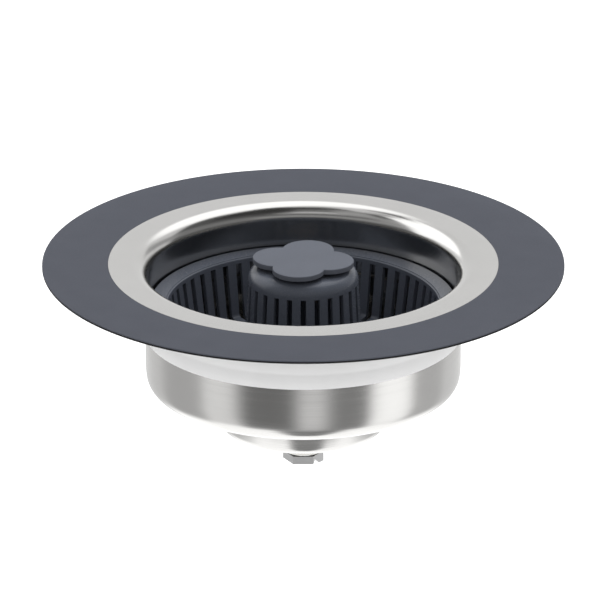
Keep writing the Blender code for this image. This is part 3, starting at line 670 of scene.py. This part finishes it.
def make_cup():
    half = SHEET / 2
    neck = CUP_WALL_RADIUS - half
    body = neck + SWELL
    swell_top = sleeve_low + SWELL_DROP + SLEEVE_LIP
    cup_bottom = cup_low + SUMP_DEPTH
    lean_at = cup_bottom + CUP_LEAN_RISE
    bend = body - (CUP_LEAN_RISE - half) * math.tan(CUP_LEAN)
    mouth = SUMP_RADIUS - half
    sump_bend = mouth - (SUMP_LEAN_RISE - half) * math.tan(SUMP_LEAN)
    corners = [
        (flange_radius, flange_top - half, 0),
        (neck, flange_top - half, LIP_ROLL - half),
        (neck, swell_top, SWELL_ROUND),
        (body, swell_top - SWELL_DROP, SWELL_ROUND),
        (body, lean_at, CUP_LEAN_ROUND),
        (bend, cup_bottom + half, CUP_FILLET - half),
        (mouth, cup_bottom + half, MOUTH_ROLL - half),
        (mouth, cup_low + SUMP_LEAN_RISE, SUMP_LEAN_ROUND),
        (sump_bend, cup_low + half, SUMP_FILLET - half),
        (cup_hole, cup_low + half, 0),
    ]
    rows = sheet_rows(corners, SHEET)
    outline = [one for one, other in rows] + [other for one, other in rows[::-1]]
    shape = turned_shape(outline, CUP_STEPS)
    cup = finished("steel_cup", shape, steel, "drain_body", "drain_cup")
    middle = (OUTLET_INNER + OUTLET_OUTER) / 2
    end = (OUTLET_OUTER - OUTLET_INNER) / 2
    outlines = []
    for outlet in range(OUTLETS):
        angle = FAR + FULL * outlet / OUTLETS
        outline = []
        for side in (1, -1):
            centre = turned_by((middle, 0), angle + side * OUTLET_SPAN / 2)
            for step in range(ARC_STEPS + 1):
                turn = math.pi * step / ARC_STEPS if side == 1 else math.pi + math.pi * step / ARC_STEPS
                edge = turned_by((end, 0), angle + side * OUTLET_SPAN / 2 + turn)
                outline.append((centre[0] + edge[0], centre[1] + edge[1]))
            radius = middle - side * end
            arc = [angle + side * OUTLET_SPAN * (1 / 2 - step / ARC_STEPS) for step in range(1, ARC_STEPS)]
            outline += [turned_by((radius, 0), place) for place in arc]
        outlines.append(outline)
    guide = prism_object("outlet_guide", outlines, cup_low - SHEET, cup_low + 2 * SHEET)
    subtract(cup, guide)
    settled(cup, guide)
    soften(cup, FLANGE_EDGE)


def make_sleeve():
    """It thins towards its lower edge, where the cup swells out to carry on its line."""
    neck = CUP_WALL_RADIUS + SLEEVE_GAP
    swell_top = sleeve_low + SWELL_DROP + SLEEVE_LIP
    corners = [
        (neck, sleeve_top),
        (neck, swell_top + SWELL_ROUND / 2),
        (neck + SWELL, swell_top - SWELL_DROP),
        (neck + SWELL, sleeve_low),
    ]
    ribs = math.ceil((sleeve_top - sleeve_low) / SLEEVE_RIB)
    for rib in range(ribs):
        for step in range(ARC_STEPS + 1):
            share = step / ARC_STEPS
            level = sleeve_low + (rib + share) * SLEEVE_RIB
            radius = sleeve_outer - SLEEVE_CROWN * (2 * share - 1) ** 2
            if level <= sleeve_top:
                corners.append((radius, level))
    shape = turned_shape(corners, CUP_STEPS)
    finished("white_sealing_sleeve", shape, white, "drain_body", "sealing_sleeve")


def make_basket():
    half = BASKET_SKIN / 2
    step_top = rim_top - RIM_SLOPE
    mouth = rim_radius - RIM_WIDTH - BASKET_STEP
    step_low = step_top - BASKET_STEP_DROP
    slope = math.tan(BASKET_TAPER)

    def wall_at(level):
        return mouth - (step_low - level) * slope + half

    floor_top = basket_low + BASKET_SKIN
    slot_top = step_top - WALL_SLOT_DROP
    floor_middle = basket_low + half
    floor_radius = wall_at(floor_middle)
    wrap_end = floor_radius - half - WALL_SLOT_WRAP
    tower_inner = tower_foot_radius - TOWER_SKIN
    floor_slot_outer = wrap_end - FLOOR_SLOT_MARGIN
    floor_slot_inner = tower_foot_radius + FLOOR_SLOT_MARGIN
    spigot = tower_inner - SPIGOT_GAP
    rim_inner = rim_radius - RIM_WIDTH
    under_rim = rim_top - BASKET_SKIN
    shown = [
        (rim_inner, rim_top, 0),
        (rim_radius, rim_top, RIM_OUTER_EDGE),
        (rim_radius, under_rim, 0),
    ]
    edge = [point for point, normal in rounded_path(shown[::-1], closed=False)][:-1]
    shown = [
        (rim_radius, rim_top, 0),
        (rim_inner, step_top, RIM_EDGE),
        (rim_inner, step_low, 0),
        (mouth, step_low, BEAD_EDGE),
        (wall_at(slot_top) - half, slot_top, 0),
    ]
    top_path = [point for point, normal in rounded_path(shown, closed=False)][1:]
    back = (wall_at(under_rim) + half, under_rim)
    low_back = (wall_at(slot_top) + half, slot_top)
    top_rows = [(point, (rim_radius, under_rim)) for point in edge[1:]]
    top_rows += [(point, back) for point in top_path[:-1]] + [(top_path[-1], low_back)]
    corners = [
        (wall_at(slot_top), slot_top, 0),
        (floor_radius, floor_middle, FLOOR_BEND),
        (wrap_end, floor_middle, 0),
        (floor_slot_outer, floor_middle, 0),
        (floor_slot_inner, floor_middle, 0),
        (spigot + BASKET_BEND, floor_middle, 0),
    ]
    low_rows = sheet_rows(corners, BASKET_SKIN)
    if math.dist(low_rows[0][0], top_path[-1]) > half:
        low_rows = [(other, one) for one, other in low_rows]
    rows = top_rows + low_rows[1:]
    middles = [((one[0] + other[0]) / 2, (one[1] + other[1]) / 2) for one, other in rows]
    socket_top = floor_top + SOCKET_HEIGHT
    spigot_top = floor_top + SPIGOT_HEIGHT
    low_tail = [
        (socket_inner, basket_low),
        (socket_inner, socket_top),
        (SOCKET_OUTER, socket_top),
        (SOCKET_OUTER, floor_top),
        (spigot - SPIGOT_WALL, floor_top),
        (spigot - SPIGOT_WALL, spigot_top),
        (spigot, spigot_top),
        (spigot, floor_top),
    ]
    tail = low_tail if rows[-1][0][1] < rows[-1][1][1] else low_tail[::-1]
    wall_half = WALL_SLOT_WIDTH / 2 / wall_at(slot_top)
    floor_half = FLOOR_SLOT_WIDTH / (floor_slot_inner + floor_slot_outer)
    turn = FAR - WALL_SLOT_TURN
    halves = (wall_half, floor_half)
    columns = slot_columns(WALL_SLOTS, turn, halves, WALL_RIB_STEPS)
    a_slot = len(columns) // WALL_SLOTS
    floor_cells = range(2 * len(halves))
    wall_cells = floor_cells[1:-1]

    def is_open(row, column):
        r = (middles[row][0] + middles[row + 1][0]) / 2
        z = (middles[row][1] + middles[row + 1][1]) / 2
        slot, place = divmod(column, a_slot)
        if z < slot_top and r > wrap_end:
            return place in wall_cells
        on_floor = floor_slot_inner < r < floor_slot_outer
        return on_floor and slot % FLOOR_SLOT_EVERY == 0 and place in floor_cells

    shape = slotted_shape(rows, tail, columns, is_open)
    basket = finished("slotted_basket", shape, plastic, "basket", "strainer_basket")
    soften(basket, MOULD_EDGE)


def make_tower():
    half = TOWER_SKIN / 2
    slope = math.tan(TOWER_DRAFT)

    def wall_at(level):
        return tower_foot_radius - (level - tower_low) * slope - half

    slot_top = tower_top - TOWER_SLOT_DROP
    slot_low = tower_low + TOWER_SLOT_MARGIN
    corners = [
        (tower_hole, tower_top - half, 0),
        (wall_at(tower_top), tower_top - half, TOWER_FILLET - half),
        (wall_at(slot_top), slot_top, 0),
        (wall_at(slot_low), slot_low, 0),
        (wall_at(tower_low), tower_low, 0),
    ]
    rows = sheet_rows(corners, TOWER_SKIN)
    levels = [(one[1] + other[1]) / 2 for one, other in rows]
    slot_half = TOWER_SLOT_WIDTH / 2 / wall_at(slot_top)
    halves = (slot_half,)
    columns = slot_columns(TOWER_SLOTS, NEAR, halves, TOWER_RIB_STEPS)
    a_slot = len(columns) // TOWER_SLOTS
    slot_cells = range(2 * len(halves))

    def is_open(row, column):
        middle = (levels[row] + levels[row + 1]) / 2
        return slot_low < middle < slot_top and column % a_slot in slot_cells

    shape = slotted_shape(rows, [], columns, is_open)
    tower = finished("slotted_tower", shape, plastic, "basket", "centre_tower")
    soften(tower, MOULD_EDGE)


def knob_outline(inset=0):
    """Four round lobes whose circles meet between them."""
    quarter = FULL / KNOB_LOBES
    lobe_radius = KNOB_LOBE - inset
    valley_x = KNOB_REACH * math.cos(quarter / 2)
    rise = KNOB_REACH * math.sin(quarter / 2)
    valley = valley_x + math.sqrt(lobe_radius ** 2 - rise ** 2)
    meet = turned_by((valley, 0), quarter / 2)
    reach = math.atan2(meet[1], meet[0] - KNOB_REACH)
    outline = []
    for lobe in range(KNOB_LOBES):
        middle = FAR + KNOB_TURN + lobe * quarter
        for step in range(LOBE_STEPS):
            edge = turned_by((lobe_radius, 0), -reach + 2 * reach * step / LOBE_STEPS)
            outline.append(turned_by((KNOB_REACH + edge[0], edge[1]), middle))
    return outline


def make_knob():
    """The lobed plate, its neck and the spigot under it, as one stack of rings."""
    plate_low = knob_top - KNOB_PLATE
    shape = bmesh.new()
    count = len(knob_outline())
    seam = [math.atan2(y, x) for x, y in knob_outline()]
    spigot = tower_hole - SPIGOT_GAP

    def ring(points, level):
        return [shape.verts.new((x, y, level)) for x, y in points]

    def circle(radius, level):
        return ring([turned_by((radius, 0), angle) for angle in seam], level)

    rings = [ring(knob_outline(KNOB_FACE_INSET), knob_top)]
    for step in range(KNOB_EDGE_STEPS + 1):
        lean = QUARTER * step / KNOB_EDGE_STEPS
        inset = KNOB_EDGE * (1 - math.sin(lean))
        drop = KNOB_EDGE * (1 - math.cos(lean))
        rings.append(ring(knob_outline(inset), knob_top - drop))
    rings.append(ring(knob_outline(), plate_low + KNOB_EDGE / 2))
    rings.append(ring(knob_outline(KNOB_EDGE / 2), plate_low))
    rings.append(circle(KNOB_NECK, plate_low))
    rings.append(circle(KNOB_NECK, tower_top + SPIGOT_GAP))
    rings.append(circle(spigot, tower_top + SPIGOT_GAP))
    rings.append(circle(spigot, knob_low))
    for upper, lower in zip(rings, rings[1:]):
        for i in range(count):
            j = (i + 1) % count
            shape.faces.new((upper[i], upper[j], lower[j], lower[i]))
    shape.faces.new(rings[0])
    shape.faces.new(rings[-1])
    finished("lobed_knob", shape, cap_plastic, "basket", "knob")


def make_spring():
    """A round wire wound with its end turns closer, built at the one length of its solid; the real spring
    shortens as the stopper goes down.
    """
    _, _, low, high = span_of("return_spring")
    first = low + SPRING_WIRE
    rise = high - low - 2 * SPRING_WIRE
    middle_turns = SPRING_TURNS - 2 * SPRING_END_TURNS
    middle_rise = rise - 2 * SPRING_END_TURNS * SPRING_END_PITCH
    count = round(SPRING_TURNS * SPRING_STEPS)
    places = []
    for step in range(count + 1):
        turns = SPRING_TURNS * step / count
        lead = min(turns, SPRING_END_TURNS)
        last = max(0, turns - SPRING_END_TURNS - middle_turns)
        ends = lead + last
        level = first + ends * SPRING_END_PITCH + (turns - ends) * middle_rise / middle_turns
        places.append(Vector((*turned_by((SPRING_RADIUS, 0), FULL * turns), level)))
    shape = bmesh.new()
    loops = []
    for index, place in enumerate(places):
        ahead = places[min(index + 1, count)] - places[max(index - 1, 0)]
        out = Vector((place.x, place.y, 0)).normalized()
        side = ahead.normalized().cross(out)
        ring = []
        for step in range(WIRE_STEPS):
            across, along = turned_by((SPRING_WIRE, 0), FULL * step / WIRE_STEPS)
            ring.append(shape.verts.new(place + out * across + side * along))
        loops.append(ring)
    for loop, following in zip(loops, loops[1:]):
        for i in range(WIRE_STEPS):
            j = (i + 1) % WIRE_STEPS
            shape.faces.new((loop[i], loop[j], following[j], following[i]))
    shape.faces.new(loops[0])
    shape.faces.new(loops[-1])
    spring = finished("wound_spring", shape, spring_wire, "drain_body", "return_spring")
    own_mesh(spring)


def make_washer(name, node, skin, body, edge):
    inner, outer, low, high = span_of(node)
    corners = [(outer, high, edge), (outer, low, edge), (inner, low, edge), (inner, high, edge)]
    finished(name, turned_shape(rounded(corners), SMALL_STEPS), skin, body, node)


def make_refined(name, node, skin, body, edge):
    """A copy of a small solid with its flat faces whole, its curves smooth and its edges rounded."""
    shape = bmesh.new()
    shape.from_mesh(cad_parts[node].data)
    bmesh.ops.remove_doubles(shape, verts=shape.verts, dist=MERGE)
    bmesh.ops.dissolve_limit(shape, angle_limit=FLAT_ANGLE, verts=shape.verts, edges=shape.edges)
    piece = finished(name, shape, skin, body, node)
    soften(piece, edge)


make_seat_ring()
make_cup()
make_sleeve()
make_basket()
make_tower()
make_knob()
make_spring()
make_washer("core_sealing_washer", "core_gasket", rubber, "drain_body", SMALL_EDGE)
make_washer("clamping_washer", "clamp_washer", plated, "drain_body", SMALL_EDGE)
make_washer("pale_stop_washer", "stop_washer", nylon, "plunger", SOFT_EDGE)
make_refined("core_barrel", "core_housing", brass, "drain_body", SMALL_EDGE)
make_refined("barrel_cap", "housing_cap", brass, "drain_body", FINE_EDGE)
make_refined("thin_lock_nut", "lock_nut", brass, "drain_body", SMALL_EDGE)
make_refined("hexagonal_end_nut", "end_nut", plated, "plunger", SOFT_EDGE)
make_refined("slotted_screw", "knob_screw", plated, "basket", FINE_EDGE)
make_refined("stopper_disc", "stopper_plate", plated, "plunger", SMALL_EDGE)
make_refined("stopper_ring", "stopper_seal", rubber, "plunger", FINE_EDGE)
make_refined("grooved_post", "plunger_post", brass, "plunger", FINE_EDGE)
make_refined("post_o_ring", "post_ring", rubber, "plunger", FINE_EDGE)
make_refined("stopper_rod", "plunger_rod", plated, "plunger", FINE_EDGE)
make_refined("toothed_cam", "push_cam", nylon, "plunger", FINE_EDGE)
make_refined("toothed_rotor", "ratchet_rotor", nylon, "rotor", FINE_EDGE)
make_refined("open_clip", "rotor_clip", plated, "plunger", FINE_EDGE)


def around(azimuth, elevation, distance):
    """A place round the drain. Azimuth 0 is the photograph's side, and it grows towards +X."""
    flat = distance * math.cos(elevation)
    return Vector((flat * math.sin(azimuth), -flat * math.cos(azimuth), distance * math.sin(elevation)))


def smooth_step(tree, value, low, high):
    """0 below low, 1 above high, and a smooth change between them."""
    node = tree.nodes.new("ShaderNodeMapRange")
    node.interpolation_type = "SMOOTHSTEP"
    node.inputs["From Min"].default_value = low
    node.inputs["From Max"].default_value = high
    tree.links.new(value, node.inputs["Value"])
    return node.outputs["Result"]


def constant(tree, value):
    node = tree.nodes.new("ShaderNodeValue")
    node.outputs["Value"].default_value = value
    return node.outputs["Value"]


def likeness(tree, direction, azimuth, elevation):
    """Cosine of the angle between a direction and the one named."""
    node = tree.nodes.new("ShaderNodeVectorMath")
    node.operation = "DOT_PRODUCT"
    node.inputs[1].default_value = around(azimuth, elevation, 1)
    tree.links.new(direction, node.inputs[0])
    return node.outputs["Value"]


def blended(tree, below, tone, amount):
    node = tree.nodes.new("ShaderNodeMix")
    node.inputs["B"].default_value = tone
    tree.links.new(below, node.inputs["A"])
    tree.links.new(amount, node.inputs["Factor"])
    return node.outputs["Result"]


def surroundings(tree):
    """What gloss and metal reflect: white, with the studio's dark screens and bright boxes."""
    direction = tree.nodes.new("ShaderNodeTexCoord").outputs["Generated"]
    split = tree.nodes.new("ShaderNodeSeparateXYZ")
    tree.links.new(direction, split.inputs["Vector"])
    height = split.outputs["Z"]
    level = tree.nodes.new("ShaderNodeVectorMath")
    level.operation = "MULTIPLY"
    level.inputs[1].default_value = (1, 1, 0)
    tree.links.new(direction, level.inputs[0])
    bearing = tree.nodes.new("ShaderNodeVectorMath")
    bearing.operation = "NORMALIZE"
    tree.links.new(level.outputs["Vector"], bearing.inputs[0])
    tone = blended(tree, constant(tree, LOW_TONE), WHITE, smooth_step(tree, height, *LOW_FADE))
    for azimuth, half, low, high, softness, patch_tone in REFLECTED_PATCHES:
        turn = likeness(tree, bearing.outputs["Vector"], math.radians(azimuth), 0)
        outer = math.cos(math.radians(half + softness))
        inner = math.cos(math.radians(half - softness))
        across = smooth_step(tree, turn, outer, inner)
        lower = [math.sin(math.radians(angle)) for angle in (low - softness, low + softness)]
        upper = [math.sin(math.radians(angle)) for angle in (high - softness, high + softness)]
        above = smooth_step(tree, height, *lower)
        over = smooth_step(tree, height, *upper)
        below = calculate(tree, "SUBTRACT", 1.0, over)
        inside = calculate(tree, "MULTIPLY", calculate(tree, "MULTIPLY", above, below), across)
        tone = blended(tree, tone, patch_tone, inside)
    azimuth, elevation, radius, softness, light_tone = TOP_LIGHT
    turn = likeness(tree, direction, math.radians(azimuth), math.radians(elevation))
    outer = math.cos(math.radians(radius + softness))
    inner = math.cos(math.radians(radius - softness))
    return blended(tree, tone, light_tone, smooth_step(tree, turn, outer, inner))


def seen_directly(tree, rays):
    """1 for the kinds of ray named, otherwise 0."""
    light_path = tree.nodes.new("ShaderNodeLightPath")
    seen = light_path.outputs[rays[0]]
    for ray in rays[1:]:
        seen = calculate(tree, "MAXIMUM", seen, light_path.outputs[ray])
    return seen


def make_world():
    world = bpy.data.worlds.new("studio")
    bpy.context.scene.world = world
    world.use_nodes = True
    tree = world.node_tree
    direction = tree.nodes.new("ShaderNodeTexCoord").outputs["Generated"]
    from_back = smooth_step(tree, likeness(tree, direction, math.pi, 0), *AMBIENT_FADE)
    ambient = blended(tree, constant(tree, FRONT_AMBIENT), BACK_AMBIENT, from_back)
    strength = blended(tree, ambient, WHITE, seen_directly(tree, ("Is Camera Ray", "Is Transmission Ray")))
    glossy = tree.nodes.new("ShaderNodeMix")
    tree.links.new(seen_directly(tree, ("Is Glossy Ray",)), glossy.inputs["Factor"])
    tree.links.new(strength, glossy.inputs["A"])
    tree.links.new(surroundings(tree), glossy.inputs["B"])
    background = tree.nodes["Background"]
    background.inputs["Color"].default_value = (1, 1, 1, 1)
    tree.links.new(glossy.outputs["Result"], background.inputs["Strength"])


def make_floor():
    """A white floor that takes the shadow and is open to a view from below."""
    skin = bpy.data.materials.new("floor_white")
    skin.use_nodes = True
    tree = skin.node_tree
    tree.nodes.remove(tree.nodes["Principled BSDF"])
    matte = tree.nodes.new("ShaderNodeBsdfDiffuse")
    matte.inputs["Color"].default_value = (*FLOOR_COLOUR, 1)
    glow = tree.nodes.new("ShaderNodeEmission")
    glow.inputs["Strength"].default_value = FLOOR_GLOW
    both = tree.nodes.new("ShaderNodeAddShader")
    tree.links.new(matte.outputs["BSDF"], both.inputs[0])
    tree.links.new(glow.outputs["Emission"], both.inputs[1])
    clear = tree.nodes.new("ShaderNodeBsdfTransparent")
    side = tree.nodes.new("ShaderNodeMixShader")
    tree.links.new(tree.nodes.new("ShaderNodeNewGeometry").outputs["Backfacing"], side.inputs["Fac"])
    tree.links.new(both.outputs["Shader"], side.inputs[1])
    tree.links.new(clear.outputs["BSDF"], side.inputs[2])
    tree.links.new(side.outputs["Shader"], tree.nodes["Material Output"].inputs["Surface"])
    shape = bmesh.new()
    bmesh.ops.create_grid(shape, x_segments=1, y_segments=1, size=FLOOR_SIZE / 2)
    mesh = bpy.data.meshes.new("floor")
    shape.to_mesh(mesh)
    shape.free()
    mesh.materials.append(skin)
    floor = bpy.data.objects.new("floor", mesh)
    floor.location = (0, 0, cad_box[0].z - FLOOR_DROP)
    floor.visible_glossy = False
    bpy.context.scene.collection.objects.link(floor)


def make_key_light():
    """A broad soft light from above and behind. Gloss shows the surroundings in its place."""
    azimuth, elevation = KEY_FROM
    light = bpy.data.lights.new("key_light", "SUN")
    light.energy = KEY * math.pi / math.sin(elevation)
    light.angle = KEY_SPREAD
    made = bpy.data.objects.new("key_light", light)
    made.rotation_mode = "QUATERNION"
    made.rotation_quaternion = around(azimuth, elevation, 1).to_track_quat("Z", "Y")
    made.visible_glossy = False
    bpy.context.scene.collection.objects.link(made)


def make_camera():
    centre = Vector((0, 0, ring_top))
    back = around(0, CAMERA_ELEVATION, 1)
    up = Vector((0, math.sin(CAMERA_ELEVATION), math.cos(CAMERA_ELEVATION)))
    right = Vector((1, 0, 0))
    middle = IMAGE_PX / 2
    aim = centre
    aim = aim - right * (RING_CENTRE_PX[0] - middle) / PX_A_METRE
    aim = aim - up * (middle - RING_CENTRE_PX[1]) / PX_A_METRE
    camera_data = bpy.data.cameras.new("photo_camera")
    camera_data.sensor_width = SENSOR_MM
    camera_data.lens = SENSOR_MM * PX_A_METRE * CAMERA_DISTANCE / IMAGE_PX
    camera_data.clip_end = CLIP_END
    camera = bpy.data.objects.new("photo_camera", camera_data)
    camera.location = centre + back * CAMERA_DISTANCE
    camera.rotation_mode = "QUATERNION"
    camera.rotation_quaternion = (aim - camera.location).to_track_quat("-Z", "Y")
    bpy.context.scene.collection.objects.link(camera)
    bpy.context.scene.camera = camera


make_world()
make_floor()
make_key_light()
make_camera()
bpy.context.scene.view_settings.view_transform = "Standard"
